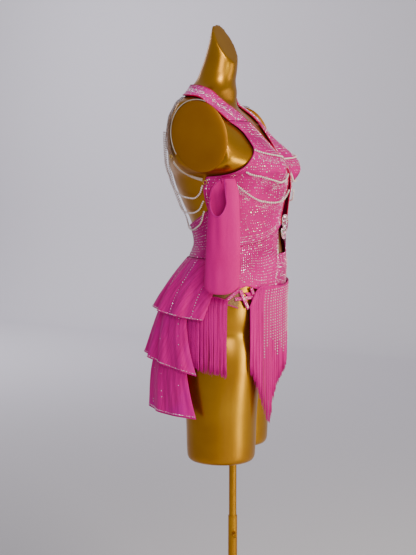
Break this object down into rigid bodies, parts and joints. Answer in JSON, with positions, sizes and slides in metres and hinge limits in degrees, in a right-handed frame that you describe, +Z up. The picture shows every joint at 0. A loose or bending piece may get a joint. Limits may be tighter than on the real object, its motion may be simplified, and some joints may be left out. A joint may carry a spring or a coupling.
{
  "type": "rumba dance dress on a torso dress form",
  "caption": "Halter-neck rumba dress with an open back, tiered back skirt, fringe and loose sleeves, worn by a limbless dress form on a telescopic stand.",
  "frame": {"origin": "centre of the base plate's underside, on the floor", "axes": "+Z up along the stand; the form faces -Y, so its right side is at -X and its left side at +X"},
  "size_m": [0.416, 0.3607, 1.5499],
  "materials": {
    "form_gold": "satin-gloss metallic gold paint on a fibreglass shell",
    "stand_gold": "satin gold paint on steel",
    "crystalled_satin": "fuchsia stretch satin covered with small clear crystals",
    "sleeve_satin": "smooth matte fuchsia stretch satin",
    "nude_net": "sheer nude stretch net",
    "pink_chiffon": "fuchsia chiffon with a crystal-edged stiff hem",
    "pink_fringe": "fuchsia viscose fringe threads",
    "clear_elastic": "clear elastic tape",
    "strap_metal": "small plated ring and slider",
    "pearls": "cream imitation pearls",
    "crystals": "clear crystals on a cast setting"
  },
  "bodies": {
    "base": {"base_plate": "stand_gold", "base_socket": "stand_gold", "pole_lower": "stand_gold", "clamp_boss": "stand_gold", "clamp_screw": "stand_gold"},
    "mast": {"pole_upper": "stand_gold"},
    "form": {"form_body": "form_gold", "arm_plate_left": "form_gold", "arm_plate_right": "form_gold", "neckband": "crystalled_satin", "bodice_front_right": "crystalled_satin", "bodice_front_left": "crystalled_satin", "lower_front": "crystalled_satin", "back_panel": "crystalled_satin", "brief_front": "crystalled_satin", "brief_back": "crystalled_satin", "hip_strap_1_right": "crystalled_satin", "hip_strap_1_left": "crystalled_satin", "hip_strap_2_right": "crystalled_satin", "hip_strap_2_left": "crystalled_satin", "hip_strap_3_right": "crystalled_satin", "hip_strap_3_left": "crystalled_satin", "hip_strap_4_right": "crystalled_satin", "hip_strap_4_left": "crystalled_satin", "sleeve_right": "sleeve_satin", "sleeve_left": "sleeve_satin", "back_yoke": "nude_net", "hip_net_right": "nude_net", "hip_net_left": "nude_net", "ruffle_tier_1": "pink_chiffon", "ruffle_tier_2": "pink_chiffon", "ruffle_tier_3": "pink_chiffon", "fringe_front": "pink_fringe", "fringe_side_right": "pink_fringe", "fringe_side_left": "pink_fringe", "underarm_strap_right": "clear_elastic", "underarm_strap_left": "clear_elastic", "strap_ring_right": "strap_metal", "strap_ring_left": "strap_metal", "strap_slider_right": "strap_metal", "strap_slider_left": "strap_metal", "back_string_1_right": "pearls", "back_string_1_left": "pearls", "back_string_2_right": "pearls", "back_string_2_left": "pearls", "back_string_3_right": "pearls", "back_string_3_left": "pearls", "bust_swag_1_right": "pearls", "bust_swag_1_left": "pearls", "bust_swag_2_right": "pearls", "bust_swag_2_left": "pearls", "bust_swag_3_right": "pearls", "bust_swag_3_left": "pearls", "brooch_1": "crystals", "brooch_2": "crystals"}
  },
  "joints": [
    {"name": "mast_slide", "type": "slide", "parent": "base", "child": "mast", "axis": [0, 0, 1], "range_m": [-0.15, 0.1]},
    {"name": "form_swivel", "type": "hinge", "parent": "mast", "child": "form", "pos_m": [0, 0, 0.9], "axis": [0, 0, 1], "continuous": true}
  ]
}
